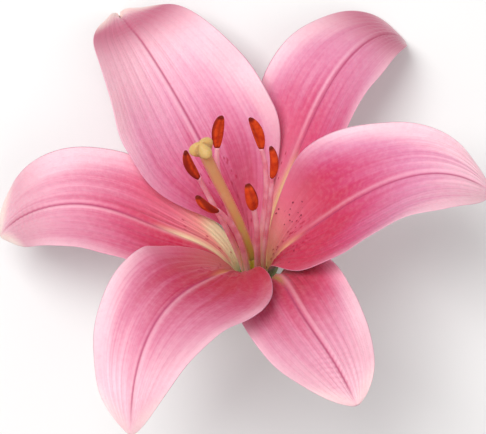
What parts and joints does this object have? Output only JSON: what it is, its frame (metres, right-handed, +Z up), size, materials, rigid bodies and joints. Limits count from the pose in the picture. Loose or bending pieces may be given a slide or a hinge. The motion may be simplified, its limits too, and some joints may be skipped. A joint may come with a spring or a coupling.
{
  "type": "cut lily bloom",
  "caption": "Open pink lily bloom on a short cut stub, face up and leaning, with recurved tepals, red anthers and a three-lobed stigma.",
  "frame": {"origin": "under the middle of the bloom's bounding box, on the surface it rests on", "axes": "+Z up from the surface; +X runs along the widest span, from the left outer tepal's tip to the right inner tepal's tip; +Y towards the side the flower's axis leans to"},
  "size_m": [0.1536, 0.1332, 0.0986],
  "materials": {
    "inner_tepal": "satin",
    "outer_tepal": "satin",
    "filament": "satin",
    "anther": "matt, powdery",
    "ovary": "satin",
    "style": "satin",
    "stigma": "moist satin",
    "stalk": "satin"
  },
  "bodies": {
    "root": {"pedicel": "stalk", "inner_tepal_1": "inner_tepal", "inner_tepal_2": "inner_tepal", "inner_tepal_3": "inner_tepal", "outer_tepal_1": "outer_tepal", "outer_tepal_2": "outer_tepal", "outer_tepal_3": "outer_tepal", "filament_1": "filament", "anther_1": "anther", "filament_2": "filament", "anther_2": "anther", "filament_3": "filament", "anther_3": "anther", "filament_4": "filament", "anther_4": "anther", "filament_5": "filament", "anther_5": "anther", "filament_6": "filament", "anther_6": "anther", "ovary": "ovary", "style": "style", "stigma": "stigma"}
  },
  "joints": []
}
